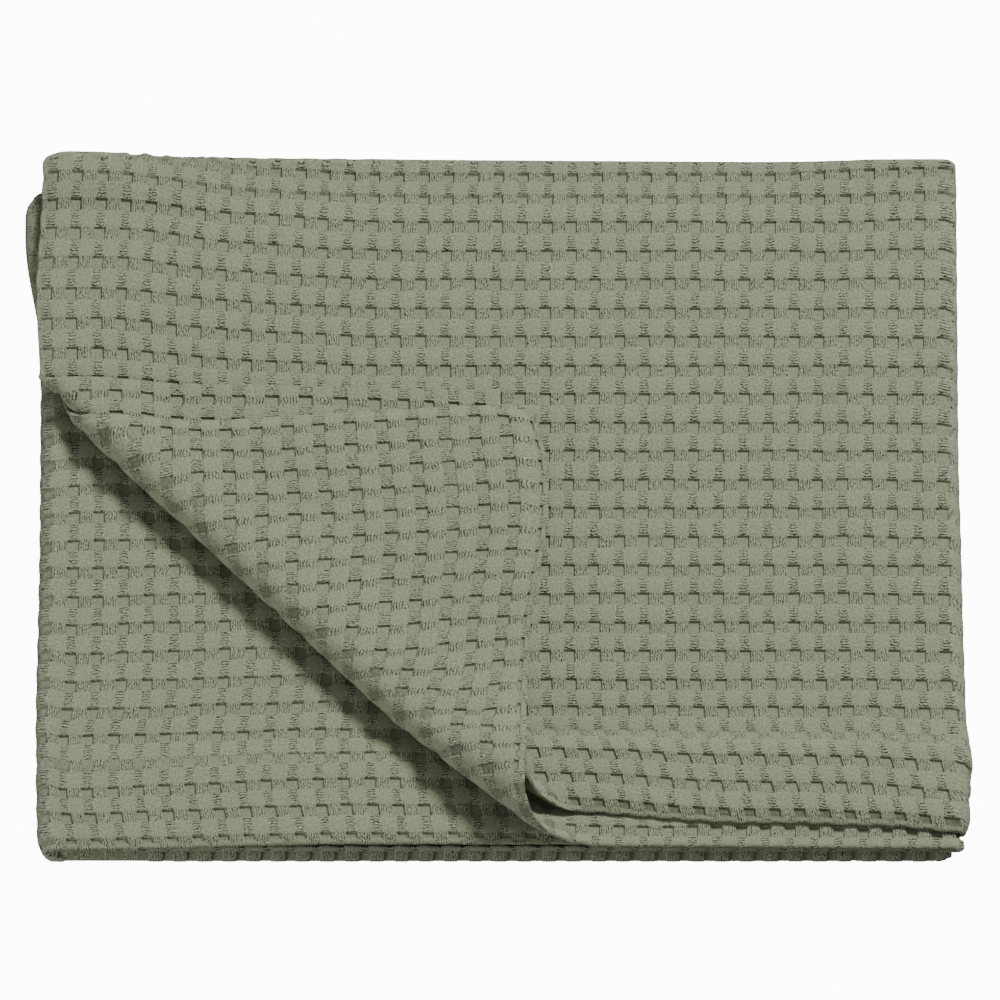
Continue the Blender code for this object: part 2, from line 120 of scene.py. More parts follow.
PLAIN = 0.0022          # width of the plain border outside the weave
GROOVE = 0.00030        # depth of the stitched line of a hem
PILLOW_H = 0.00030      # height of the smooth block at its sides
PILLOW_ARCH = 0.00022   # and what its crown adds
RIB_V_H = 0.00012       # the same for the block ribbed along w
RIB_V_ARCH = 0.00022
RIB_H_H = 0.00004       # and for the block ribbed along v
RIB_H_ARCH = 0.00046
UNREST = 0.00016        # how far the woven cells stray
SCALLOP = 0.00045       # how far the borders draw in beside the ribs
SCALLOP_RUN = 0.0045
THIN = 0.42             # share by which the cloth thins towards its borders
THIN_RUN = 0.0035
CALM = 0.65             # share of the relief pulled flat on the back fold
RISE_RUN = 0.0012       # distance from a sheet's end over which its relief rises
SHARP = math.radians(38.0)
LOOP_LINE = 0.190       # v plus the distance from the front border, on the loop's crest

V1 = TOP_RUN
V2 = V1 + FOLD_RUN
V3 = V2 + MIDDLE_RUN
V4 = V3 + FOLD_RUN
W1 = UPPER_RUN
W2 = UPPER_RUN + BACK_RUN
LAP = 0.004             # how far a layer's sheet runs on past the fold it includes

# studio
FLOOR_HALF = 7.0
FLOOR_Z = -0.0002
FLOOR_TONE = 0.90
FLOOR_GLOW = 12.0
SKY_STRENGTH = 0.245
VIEW_ELEVATION = 68.0
VIEW_WIDTH = 0.400
VIEW_DISTANCE = 13.0
VIEW_AIM_Y = 0.1558
SENSOR = 36.0


def smooth(x):
    x = np.clip(x, 0.0, 1.0)
    return x * x * (3.0 - 2.0 * x)


def bell(x):
    return np.exp(-x * x)


# ---------------------------------------------------------------- outline of the packet
def top_left(y):
    """X of the free left edge of the uppermost layer."""
    return LEFT_X - 0.0021 * bell((y - 0.238) / 0.030)


def right_fold(y):
    """X of the outside of the closed right fold."""
    spread = 0.0016 * smooth((0.20 - y) / 0.12) + 0.0008 * smooth((0.10 - y) / 0.04)
    front = 0.0014 * smooth((0.034 - y) / 0.022)
    return RIGHT_X + spread + 0.0026 * bell((y - 0.036) / 0.014) + front


def left_fold(y):
    """X of the outside of the left fold of the lower layers."""
    sway = -0.0012 * bell((y - 0.055) / 0.05) + 0.0007 * smooth((0.012 - y) / 0.012)
    bulge = 0.0068 * smooth((y - 0.212) / 0.055) - 0.0050 * smooth((y - 0.277) / 0.010)
    return FOLD_LEFT_X + sway - bulge


def back_top(x):
    """Y of the back fold of the two upper layers."""
    left = 0.0019 * (1.0 - smooth((x + 0.165) / 0.05))
    return BACK_Y - left - 0.0011 * smooth((x - 0.11) / 0.04)


def back_bottom(x):
    """Y of the back fold of the two lowest layers."""
    return 0.268 + 0.016 * (1.0 - smooth((x + 0.180) / 0.09))


def back_middle(x):
    """Y of the back fold of the two layers between them."""
    left = 0.013 * (1.0 - smooth((x + 0.180) / 0.09))
    return 0.271 + left + 0.0285 * smooth((x - 0.10) / 0.075)


def front_top(x):
    """Y of the front edge of the uppermost layer."""
    right = 0.0010 * smooth((x - 0.115) / 0.03) + 0.0040 * smooth((x - 0.148) / 0.045)
    return FRONT_TOP + 0.0050 * smooth((0.100 - x) / 0.08) - right


def front_under(x):
    """Y of the front edge of the second layer."""
    return -0.0003 - 0.0008 * smooth((x - 0.060) / 0.100)


def front_fourth(x):
    """Y of the front edge of the third layer from the top."""
    return 0.0004 + 0.0026 * smooth((x + 0.178) / 0.12) - 0.0036 * smooth((x - 0.150) / 0.025)


# ---------------------------------------------------------------- heights of the layers
def hem_front(y):
    """1 over the hems along the front, 0 behind them."""
    return 1.0 - smooth((y - 0.039) / 0.012)


def layer_pitch(k, x, y):
    """Room that layer k takes in height, with the air below it."""
    hem = hem_front(y)
    if k >= 4:
        hem = np.maximum(hem, 1.0 - smooth((x + 0.145) / 0.012))
    if k <= 1:
        hem = np.maximum(hem, smooth((x - 0.128) / 0.012))
    return AIR + BODY_T + (HEM_T - BODY_T) * hem


def heights(x, y):
    """Mid-height of the six layers above a point of the table."""
    p = [layer_pitch(k, x, y) for k in range(6)]
    sink_b = 1.0 - smooth((y - back_bottom(x) - 0.001) / DROP_RUN)
    sink_m = 1.0 - smooth((y - back_middle(x) - 0.001) / DROP_RUN)
    base_mid = (p[0] + p[1]) * sink_b
    base_top = base_mid + (p[2] + p[3]) * sink_m
    z = [p[0] / 2, p[0] + p[1] / 2,
         base_mid + p[2] / 2, base_mid + p[2] + p[3] / 2,
         base_top + p[4] / 2, base_top + p[4] + p[5] / 2]
    return [h - AIR / 2 for h in z]


# ---------------------------------------------------------------- the turned corner
def loop_tables():
    """Cross-sections of the inner and outer loops for several degrees of opening."""
    s = np.arange(-0.024, 0.330, 0.0005)
    opening = np.linspace(0.0, 1.0, 17)
    tables = []
    for r0, r1, lead, rest, handle, set_back in (
            (INNER_R, INNER_R_OPEN, INNER_LEAD, REST_INNER, INNER_HANDLE, INNER_BACK),
            (OUTER_R, OUTER_R_OPEN, OUTER_LEAD, REST_OUTER, OUTER_HANDLE, 0.0)):
        out_all = []
        up_all = []
        for o in opening:
            r = r0 + (r1 - r0) * o
            m = lead * o
            run = SETTLE_RUN + (SETTLE_RUN_OPEN - SETTLE_RUN) * o
            q = np.linspace(0.0, 1.0, 60)
            rise = QUARTER + (handle - QUARTER) * o
            c = set_back * o
            bx = [-m, -m + QUARTER * (r - c + m), r - c, r - c]
            bz = [0.0, 0.0, r - rise * r, r]
            w = [(1 - q) ** 3, 3 * q * (1 - q) ** 2, 3 * q * q * (1 - q), q ** 3]
            out = sum(a * b for a, b in zip(bx, w))
            up = sum(a * b for a, b in zip(bz, w))
            a = np.linspace(0.0, math.pi / 2, 40)[1:]
            out = np.concatenate((out, r * np.cos(a) - c))
            up = np.concatenate((up, r + r * np.sin(a)))
            d = np.linspace(0.0, 0.30, 301)[1:]
            out = np.concatenate(([-0.1], out, -c - d))
            up = np.concatenate(([0.0], up, rest + (2 * r - rest) * (1 - smooth(d / run))))
            arc = np.concatenate(([0.0], np.cumsum(np.hypot(np.diff(out), np.diff(up)))))
            arc = arc - 0.1
            out_all.append(np.interp(s, arc, out))
            up_all.append(np.interp(s, arc, up))
        tables.append((np.array(out_all), np.array(up_all)))
    return s, opening, tables


LOOP_S, LOOP_O, LOOPS = loop_tables()


def read_loop(table, s, o):
    """Value of a loop table at the distance s past the fold, for the opening o."""
    fi = np.clip((s - LOOP_S[0]) / (LOOP_S[1] - LOOP_S[0]), 0, len(LOOP_S) - 1.001)
    fo = np.clip(o * (len(LOOP_O) - 1), 0, len(LOOP_O) - 1.001)
    i = fi.astype(int)
    j = fo.astype(int)
    a = fi - i
    b = fo - j
    low = table[j, i] * (1 - a) + table[j, i + 1] * a
    high = table[j + 1, i] * (1 - a) + table[j + 1, i + 1] * a
    return low * (1 - b) + high * b


def opening_at(x, y):
    """How far the roll has opened: 0 at its tip, 1 at the front."""
    along = (x - y) / math.sqrt(2.0)
    return smooth((along - OPEN_FROM) / (OPEN_TO - OPEN_FROM))


def past_fold(x, y):
    """Distance of a flat point past the fold line, towards the free corner."""
    total = FOLD_SUM + (FOLD_SUM_OPEN - FOLD_SUM) * opening_at(x, y)
    return (total - x - y) / math.sqrt(2.0)


def turn_corner(x, y, top):
    """Carry points of the two upper layers over the diagonal; top marks the uppermost."""
    s = past_fold(x, y)
    o = opening_at(x, y)
    out = np.where(top, read_loop(LOOPS[0][0], s, o), read_loop(LOOPS[1][0], s, o))
    up = np.where(top, read_loop(LOOPS[0][1], s, o), read_loop(LOOPS[1][1], s, o))
    near = s < -0.022
    out = np.where(near, s, out)
    up = np.where(near, 0.0, up)
    shift = (s - out) / math.sqrt(2.0)
    nx = x + shift
    ny = y + shift
    on_flap = smooth(-out / 0.03) * (s > 0.003)
    lean = smooth((ny - 0.055) / 0.125) * np.clip((nx + 0.13) / 0.14, 0.0, 1.2)
    rise = smooth((nx + 0.13) / 0.16)
    spread = 0.0044 * smooth(ny / 0.075) + 0.0030 * bell((ny - 0.130) / 0.028)
    spread = spread * smooth((nx + 0.13) / 0.13) * smooth((s - 0.018) / 0.024)
    dx = np.where(top, 0.0, 0.0084) * lean
    dip = 0.0013 * bell((nx + 0.132) / 0.035)
    dy = np.where(top, -0.0030, 0.0074) * rise
    dy = dy - np.where(top, 0.0014 * smooth((nx + 0.165) / 0.04), dip * smooth((ny - 0.10) / 0.07))
    nx = nx + on_flap * dx + np.where(top, 0.0, spread)
    ny = ny + on_flap * dy
    sag = 0.0034 * smooth((nx - 0.0085) / 0.008) * smooth((ny - 0.07) / 0.05)
    up = up - np.where(top, 0.0, on_flap * sag)
    return nx, ny, up


# ---------------------------------------------------------------- flat cloth to folded packet
def section(v, y, plus):
    """X and Z of the cloth for a length v along the thirds, at the depth y."""
    pitch = AIR + BODY_T + (HEM_T - BODY_T) * hem_front(y)
    half = (pitch - AIR) / 2
    right_c = right_fold(y) - 1.5 * pitch - half
    left_c = left_fold(y) + 1.5 * pitch + half
    start = np.where(plus, top_left(y), UNDER_LEFT_X)
    x = np.where(v < V2, start + (right_c - start) * np.clip(v / V1, 0, 1),
                 right_c + (left_c - right_c) * np.clip((v - V2) / MIDDLE_RUN, 0, 1))
    x = np.where(v > V4, left_c + (END_X - left_c) * (v - V4) / BOTTOM_RUN, x)
    h = heights(x, y)
    upper = np.where(plus, h[5], h[4])
    middle = np.where(plus, h[2], h[3])
    lower = np.where(plus, h[1], h[0])
    z = np.where(v < V1, upper, np.where(v < V3, middle, lower))
    # right fold joins the top third to the middle third
    a = np.clip((v - V1) / FOLD_RUN, 0, 1) * math.pi
    in_right = (v >= V1) & (v <= V2)
    hr = heights(right_c, y)
    hi = np.where(plus, hr[5], hr[4])
    lo = np.where(plus, hr[2], hr[3])
    flare = 0.42 * smooth((0.0062 - y) / 0.0022) * smooth((y + 0.0040) / 0.0040)
    reach = np.where(plus, 1.5, 0.5 + flare) * pitch
    x = np.where(in_right, right_c + reach * np.sin(a), x)
    z = np.where(in_right, (hi + lo) / 2 + (hi - lo) / 2 * np.cos(a), z)
    # left fold joins the middle third to the bottom third
    a = np.clip((v - V3) / FOLD_RUN, 0, 1) * math.pi
    in_left = (v >= V3) & (v <= V4)
    hl = heights(left_c, y)
    hi = np.where(plus, hl[2], hl[3])
    lo = np.where(plus, hl[1], hl[0])
    reach = np.where(plus, 0.5, 1.5) * pitch
    x = np.where(in_left, left_c - reach * np.sin(a), x)
    z = np.where(in_left, (hi + lo) / 2 + (hi - lo) / 2 * np.cos(a), z)
    return x, z


def nominal_x(v):
    """X of a length v in a packet with straight sides."""
    x = np.where(v < V2, -0.182 + 0.360 * np.clip(v / TOP_RUN, 0, 1),
                 0.178 - 0.356 * np.clip((v - V2) / MIDDLE_RUN, 0, 1))
    return np.where(v > V4, -0.178 + 0.358 * (v - V4) / BOTTOM_RUN, x)


def ease_in(d, run, span):
    """Distance from the front edge: true to length in front, drawn together at the back."""
    t = np.clip(d / run, 0.0, 1.2)
    slope = np.minimum(run * 0.985 / span, 1.25)
    return span * (slope * t + (1.0 - slope) * t ** 4)


def roll_lip(v, w, y, z):
    """The lowest layer's front border rolls up and leans back against the packet."""
    d = CLOTH_W - w
    lip = LIP_R * LIP_TURN + LIP_RISE
    past = lip - d
    angle = np.clip(past / LIP_R, 0.0, LIP_TURN)
    rest = np.maximum(past - LIP_R * LIP_TURN, 0.0)
    flat_y = y - (lip - LIP_Y) * (1.0 - smooth(-past / 0.050))
    lip_y = LIP_Y - LIP_R * np.sin(angle) - rest * math.cos(LIP_TURN)
    lip_z = z + LIP_R * (1.0 - np.cos(angle)) + rest * math.sin(LIP_TURN)
    new_y = np.where(past > 0, lip_y, flat_y)
    new_z = np.where(past > 0, lip_z, z)
    grown = smooth((v - V4 + 0.0048) / 0.0040)
    return y + (new_y - y) * grown, z + (new_z - z) * grown


def round_corner(v, w, x, y):
    """The free corner of the turned flap is rounded off."""
    soft = 1.0 - smooth((v + CLOTH_W - w) / CORNER_RUN)
    return x - CORNER_X * soft, y - CORNER_Y * soft


def place(v, w):
    """Folded position of the cloth point (v, w)."""
    v = np.asarray(v, float)
    w = np.asarray(w, float)
    xn = nominal_x(v)
    in_top = v <= TOP_RUN
    part_m = smooth((v - V1) / FOLD_RUN)
    part_b = smooth((v - V3) / FOLD_RUN)
    back_t = back_top(xn)
    back_m = back_middle(xn)
    back = back_t + (back_m - back_t) * part_m + (back_bottom(xn) - back_m) * part_b
    hidden = MIDDLE_BACK + (SECOND_BACK - MIDDLE_BACK) * part_b
    front_p = front_top(xn) * (1 - part_m) + hidden * part_m
    front_m = front_under(xn) * (1 - part_m) + front_fourth(xn) * part_m * (1 - part_b)
    r = (AIR + BODY_T) / 2
    turn = back - r
    plus = w < UPPER_RUN + BACK_RUN / 2
    d = np.where(plus, w, CLOTH_W - w)
    run = np.where(plus, UPPER_RUN, LOWER_RUN)
    front = np.where(plus, front_p, front_m)
    level = np.where(plus, FRONT_TOP * (1 - part_m), 0.0)
    y = level + ease_in(d, run, turn - level) + (front - level) * (1 - smooth(d / FRONT_FADE))
    y = np.minimum(y, turn)
    x, z = section(v, y, plus)
    lip_y, lip_z = roll_lip(v, w, y, z)
    y = np.where(plus, y, lip_y)
    z = np.where(plus, z, lip_z)
    # the diagonal turn of the top third
    nx, ny, up = turn_corner(x, y, plus)
    round_x, round_y = round_corner(v, w, nx, ny)
    nx = np.where(plus, nx, round_x)
    ny = np.where(plus, ny, round_y)
    bent = in_top & (d < run)
    h = heights(nx, ny)
    nz = np.where(plus, h[5], h[4]) + up
    x = np.where(bent, nx, x)
    y = np.where(bent, ny, y)
    z = np.where(bent, nz, z)
    # the back fold joins the two sides of the doubled cloth
    in_back = (w > W1) & (w < W2)
    xp, zp = section(v, turn, np.ones_like(plus))
    xm, zm = section(v, turn, np.zeros_like(plus))
    a = np.clip((w - W1) / BACK_RUN, 0, 1) * math.pi
    c = np.cos(a)
    gap = np.hypot(xp - xm, zp - zm) / 2
    x = np.where(in_back, (xp + xm) / 2 + (xp - xm) / 2 * c, x)
    z = np.where(in_back, (zp + zm) / 2 + (zp - zm) / 2 * c, z)
    y = np.where(in_back, turn + gap * np.sin(a), y)
    return np.stack((x - CENTRE_X, y - CENTRE_Y, z), axis=-1)


def thickness(v, w):
    """Thickness of the cloth: more over the hems."""
    edge = np.minimum(np.minimum(v, CLOTH_L - v), np.minimum(w, CLOTH_W - w))
    return BODY_T + (HEM_T - BODY_T) * (1 - smooth((edge - HEM_W + 0.001) / 0.003))


def normals(v, w):
    """Unit normals of the folded cloth, on its face."""
    e = 0.0002
    pv = place(v + e, w) - place(v - e, w)
    pw = place(v, w + e) - place(v, w - e)
    n = np.cross(pv, pw)
    return n / np.maximum(np.linalg.norm(n, axis=-1, keepdims=True), 1e-12)


# ---------------------------------------------------------------- the weave
def trapezoid(f, share, half):
    """1 inside 0..share, 0 outside, with ramps of 2*half, for f in repeats."""
    f = f - np.floor(f)
    f = np.where(f > (1 + share) / 2, f - 1, f)
    return np.clip((f + half) / (2 * half), 0, 1) * np.clip((share - f + half) / (2 * half), 0, 1)


def relief(p, q, tall, depth):
    """Height of the weave above the mean face, for pattern coordinates in repeats."""
    fp = p - np.floor(p)
    fq = q - np.floor(q)
    in_p = trapezoid(p, RECESS_V, WALL)
    in_q = trapezoid(q, RECESS_W, WALL)
    up = (fp - RECESS_V) / (1 - RECESS_V)
    uq = (fq - RECESS_W) / (1 - RECESS_W)
    arch_p = np.clip(4 * up * (1 - up), 0, 1)
    arch_q = np.clip(4 * uq * (1 - uq), 0, 1)
    pillow = PILLOW_H + PILLOW_ARCH * np.sqrt(arch_p * arch_q)
    rib_v = RIB_V_H + RIB_V_ARCH * arch_p
    rib_h = RIB_H_H + RIB_H_ARCH * arch_q
    base = (1 - in_p) * (1 - in_q) * pillow + (1 - in_p) * in_q * rib_v + in_p * (1 - in_q) * rib_h
    return (base - in_p * in_q * RECESS_DEPTH * depth) * tall


def pattern_lines(lo, hi, origin, repeat, shares):
    """Positions of the weave's own lines between lo and hi."""
    first = int(math.floor((lo - origin) / repeat)) - 1
    last = int(math.ceil((hi - origin) / repeat)) + 1
    all_lines = [origin + (k + s) * repeat for k in range(first, last) for s in shares]
    return [x for x in all_lines if lo < x < hi]


def spaced(lo, hi, step):
    """Even lines from lo to hi, about a step apart."""
    n = max(1, int(round((hi - lo) / step)))
    return list(np.linspace(lo, hi, n + 1))


def tidy_lines(values, lo, hi, gap):
    """Sorted lines from lo to hi that keep at least a gap between neighbours."""
    kept = [lo]
    for x in sorted(values):
        if x - kept[-1] > gap and hi - x > gap:
            kept.append(x)
    kept.append(hi)
    return np.array(kept)


def fill_lines(lines, lo, hi, step):
    """Adds lines between lo and hi wherever a gap is wider than the step."""
    out = [lines[0]]
    for x in lines[1:]:
        if out[-1] >= lo and x <= hi and x - out[-1] > step:
            out += spaced(out[-1], x, step)[1:-1]
        out.append(x)
    return np.array(out)


def ring_of(nv, nw):
    """Border indices of an nv by nw grid, as its four sides."""
    idx = np.arange(nv * nw).reshape(nv, nw)
    return [idx[:, 0], idx[-1, :], idx[::-1, -1], idx[0, ::-1]]


def bridge(side_a, at_a, side_b, at_b, faces):
    """Triangles between two lines of vertices that run side by side."""
    i = 0
    j = 0
    past_end = 9.0
    while i < len(side_a) - 1 or j < len(side_b) - 1:
        step_a = at_a[i + 1] if i < len(side_a) - 1 else past_end
        step_b = at_b[j + 1] if j < len(side_b) - 1 else past_end
        if step_a <= step_b:
            faces.append((side_a[i + 1], side_a[i], side_b[j]))
            i += 1
        else:
            faces.append((side_a[i], side_b[j], side_b[j + 1]))
            j += 1


def grid_faces(nv, nw, offset, flip):
    """Quads of an nv by nw grid of vertices that starts at the offset."""
    idx = np.arange(nv * nw).reshape(nv, nw) + offset
    a = idx[:-1, :-1].ravel()
    b = idx[1:, :-1].ravel()
    c = idx[1:, 1:].ravel()
    d = idx[:-1, 1:].ravel()
    quads = np.stack((a, b, c, d), axis=1)
    return quads[:, ::-1] if flip else quads


def rim_round(edge, half):
    """Share of the half thickness at a distance from the cloth's border."""
    t = np.clip(1 - edge / half, 0, 1)
    return np.sqrt(np.clip(1 - t * t, 0, 1))


def no_shift(v, w):
    """A weave that lies true."""
    return 0.0 * v, 0.0 * w


def unrest(v, w):
    """Small irregularity of the woven cells, in metres along v and w."""
    a = np.sin(v * 251.0 + 1.3 * np.sin(w * 97.0)) + np.sin(w * 173.0 + v * 61.0 + 2.0)
    b = np.sin(w * 233.0 + 1.1 * np.sin(v * 83.0) + 1.0) + np.sin(v * 149.0 - w * 71.0)
    return UNREST * a, UNREST * b


def plain_border(edge):
    """No weave shows in the sewn border of the cloth."""
    return smooth((edge - PLAIN + 0.0002) / 0.0006)


def seam_depth(v, w):
    """Depth of the recesses as a share of the usual.

    They are sewn nearly flat along the seam of a hem, shallow on the loop, and deeper
    beside the back fold and along the lip.
    """
    near = smooth((0.0036 - np.abs(w - SEAM_ROW)) / 0.0009)
    far = smooth((0.0036 - np.abs(CLOTH_W - w - SEAM_ROW)) / 0.0009)
    seam = 1.0 - 0.78 * near - np.where(v < V1, 0.30, 0.78) * far
    on_loop = (v < V1) & (w > W2) & (np.abs(v + (CLOTH_W - w) - LOOP_LINE) < 0.022)
    back = smooth((w - W1 + 0.032) / 0.014) * smooth((W1 + 0.001 - w) / 0.003)
    back = np.where(v < V2, back, 0.0)
    return seam * np.where(v > V4, LIP_DEPTH, np.where(on_loop, LOOP_DEPTH, 1.0 + BACK_DEPTH * back))


def seam_groove(v, w):
    """The stitched line that holds the hem down."""
    groove = 0.0
    for edge in (v, CLOTH_L - v, w, CLOTH_W - w):
        groove = groove + GROOVE * bell((edge - HEM_W) / 0.0009)
    return groove


def painted_shade(p, q, v, w):
    """Painted shade: how much darker the colour is made.

    It is painted along the back fold, where the cloth slopes towards the key light, and down in the
    recesses of the loop, of the lip and of the row beside the front edge of the uppermost layer.
    """
    pit = trapezoid(p, RECESS_V, WALL) * trapezoid(q, RECESS_W, WALL)
    diagonal = v + (CLOTH_W - w) - LOOP_LINE
    loop = np.where((v < V1) & (w > W2), smooth((0.026 - np.abs(diagonal)) / 0.006), 0.0)
    lip = np.where(v > V4, smooth((w - CLOTH_W + 0.0105) / 0.002), 0.0)
    back = smooth((w - W1 + 0.030) / 0.016) * smooth((W2 + 0.030 - w) / 0.020)
    back = np.where(v < V2, back, 0.0)
    row = np.where(v > 0.190, smooth((0.0085 - w) / 0.001) * smooth((v - 0.190) / 0.040), 0.0)
    return 0.07 * back + pit * (0.20 * loop + 0.12 * lip + 0.22 * row * plain_border(w))


def scallop(p, q, v, w):
    """The border draws in beside the ribs and stands out at the pillows."""
    at_w = np.minimum(w, CLOTH_W - w)
    wave_w = 0.5 + 0.5 * np.cos(2 * math.pi * (p - RECESS_V / 2))
    wave_v = 0.5 + 0.5 * np.cos(2 * math.pi * (q - RECESS_W / 2))
    draw_w = SCALLOP * wave_w * bell(at_w / SCALLOP_RUN)
    draw_v = SCALLOP * wave_v * bell(v / SCALLOP_RUN)
    return draw_v, np.where(w < CLOTH_W / 2, draw_w, -draw_w)


def make_sheet(name, box, face, back, origin, repeat, shift=no_shift):
    """A closed thin sheet over the flat box (v0, v1, w0, w1).

    face and back are (v lines, w lines, tall) for the two sides; tall(v, w) is how much
    of the weave's relief a point carries.
    """
    v0, v1, w0, w1 = box
    points = []
    weave = []
    sizes = []
    for side, (v_lines, w_lines, tall) in ((1, face), (-1, back)):
        gv, gw = np.meshgrid(v_lines, w_lines, indexing="ij")
        dv, dw = shift(gv, gw)
        edge = np.minimum(np.minimum(gv - v0, v1 - gv), np.minimum(gw - w0, w1 - gw))
        free = smooth(edge / 0.012)
        jv, jw = unrest(gv, gw)
        p = (gv - origin[0]) / repeat[0]
        q = (gw - origin[1]) / repeat[1]
        sv, sw = scallop(p, q, gv, gw)
        v = gv + dv + jv * free + sv
        w = gw + dw + jw * free + sw
        if side < 0:
            p = p + 0.5
            q = q + 0.5
        whole = thickness(v, w) / 2
        border = np.minimum(np.minimum(gv, CLOTH_L - gv), np.minimum(gw, CLOTH_W - gw))
        half = whole * (1.0 - THIN * bell(border / THIN_RUN))
        round_off = rim_round(np.maximum(border, 0), half)
        calm = 1.0 - CALM * smooth((w - W1 + 0.003) / 0.004) * smooth((W2 + 0.004 - w) / 0.004)
        calm = calm * plain_border(border) if side > 0 else calm
        weave_lift = relief(p, q, tall(v, w) * calm, seam_depth(v, w))
        weave_lift = weave_lift - seam_groove(v, w) * (side > 0)
        lift = half * round_off + weave_lift * smooth(edge / RISE_RUN)
        pos = place(v, w) + normals(v, w) * (side * lift - (whole - half))[..., None]
        pos[..., 2] = np.maximum(pos[..., 2], 0.0)
        points.append(pos.reshape(-1, 3))
        # the third value is the painted shade that the colour subtracts
        weave.append(np.stack((p, q, painted_shade(p, q, v, w)), axis=-1).reshape(-1, 3))
        sizes.append((len(v_lines), len(w_lines)))
    n_face = len(points[0])
    quads = np.concatenate((grid_faces(*sizes[0], 0, False), grid_faces(*sizes[1], n_face, True)))
    strips = []
    rings_a = ring_of(*sizes[0])
    rings_b = ring_of(*sizes[1])
    lines_a = (face[0], face[1], face[0][::-1], face[1][::-1])
    lines_b = (back[0], back[1], back[0][::-1], back[1][::-1])
    for k in range(4):
        at_a = np.abs(lines_a[k] - lines_a[k][0]) / abs(lines_a[k][-1] - lines_a[k][0])
        at_b = np.abs(lines_b[k] - lines_b[k][0]) / abs(lines_b[k][-1] - lines_b[k][0])
        bridge(list(rings_a[k]), at_a, list(rings_b[k] + n_face), at_b, strips)
    verts = np.concatenate(points)
    mesh = bpy.data.meshes.new(name)
    faces = [tuple(f) for f in quads.tolist()] + [tuple(int(i) for i in f) for f in strips]
    mesh.from_pydata(verts.tolist(), [], faces)
    # the weave attribute carries the pattern coordinates and the painted shade
    layer = mesh.attributes.new("weave", "FLOAT_VECTOR", "POINT")
    layer.data.foreach_set("vector", np.concatenate(weave).astype(np.float32).ravel())
    mesh.polygons.foreach_set("use_smooth", np.ones(len(mesh.polygons), bool))
    mesh.update()
    mesh.set_sharp_from_angle(angle=SHARP)
    obj = bpy.data.objects.new(name, mesh)
    bpy.context.scene.collection.objects.link(obj)
    return obj


def all_tall(v, w):
    """A side that carries its relief everywhere."""
    return np.ones_like(v)


def flat_side(v, w):
    """A hidden side, without relief."""
    return np.zeros_like(v)


def rim_lines(lo, hi, at_lo, at_hi):
    """Close lines for the rounded rim at the ends that are real borders."""
    lines = []
    for d in RIM[1:]:
        if at_lo:
            lines.append(lo + d)
        if at_hi:
            lines.append(hi - d)
    return lines


def face_lines(lo, hi, at_lo, at_hi, origin, repeat, shares, fine, coarse):
    """Weave lines in the fine stretches, wide steps elsewhere."""
    lines = rim_lines(lo, hi, at_lo, at_hi)
    at = lo
    for a, b in list(fine) + [(hi, hi)]:
        if a > at:
            lines += spaced(at, a, coarse)
        if b > a:
            lines += pattern_lines(a, b, origin, repeat, shares)
        at = b
    return tidy_lines(lines, lo, hi, 0.00022)


TOP_ORIGIN = (0.00215, 0.00056)
UNDER_ORIGIN = (0.00504, CLOTH_W - 0.04922)
FOURTH_ORIGIN = (V3 - 0.0403, CLOTH_W - 0.0643)
LIP_ORIGIN = (V4 + 0.0030, CLOTH_W - 0.0069)
REPEATS = {"top": (0.009957, 0.012437), "under": (0.00992, 0.01140), "fourth": (0.01017, 0.01195)}


def top_shift(v, w):
    """How the weave of the uppermost layer is drawn out of true, in metres along v and w."""
    hem = 0.0008 * smooth((0.072 - w) / 0.020) + 0.265 * np.clip(0.0425 - w, 0, 1)
    dv = hem * smooth(v / 0.030) - 0.0024 * smooth((0.270 - w) / 0.170)
    on = 1.0 - smooth((v - V1 - FOLD_RUN / 2) / (FOLD_RUN / 2 + LAP))
    near = 0.5 * (1.0 - smooth((v - 0.020) / 0.060)) + 0.5 * (1.0 - smooth((v - 0.040) / 0.110))
    sway = (0.0076 + 0.0034 * smooth((w - 0.200) / 0.060)) * near * smooth((w - 0.030) / 0.090)
    right = 0.0026 * smooth((w - 0.200) / 0.090) - 0.0008 * smooth(w / 0.020)
    dw = sway + right * smooth((v - 0.310) / 0.045) - 0.0043 * smooth((w - 0.008) / 0.058)
    return dv * on, dw * on


def flap_shift(v, w):
    """The weave on the turned flap: drawn towards the loop and spread along the free edges."""
    depth = CLOTH_W - w
    near = smooth((v + depth - 0.143) / 0.030)
    dv = near * (0.062 * (0.094 - v) - 0.10 * np.clip(v - 0.105, 0, 0.02)) * smooth(v / 0.015)
    spread = 0.0038 * (1.0 - smooth(v / 0.060)) - 0.0014 * bell((v - 0.095) / 0.022)
    spread = spread + 0.0030 * smooth((v - 0.110) / 0.040)
    spread = spread + near * np.maximum(0.0036 - 0.075 * v, -0.0012)
    on = (1.0 - smooth((v - 0.150) / 0.040)) * smooth((0.235 - depth) / 0.050)
    return dv * on, -spread * on * smooth(depth / 0.012)


def under_shift(v, w):
    """Carries the uppermost layer's shift on past the back fold, then follows the flap."""
    dv, dw = top_shift(v, np.full_like(w, W2 + LAP))
    fade = smooth((W2 + 0.090 - w) / 0.085)
    flap_dv, flap_dw = flap_shift(v, w)
    strip = 1.0 - smooth((v - V1 - FOLD_RUN / 2) / (FOLD_RUN / 2 + LAP))
    strip = smooth((v - 0.150) / 0.040) * strip
    strip = strip * smooth((w - CLOTH_W + 0.150) / 0.050)
    return dv * fade + flap_dv - 0.0035 * strip, dw * fade + flap_dw


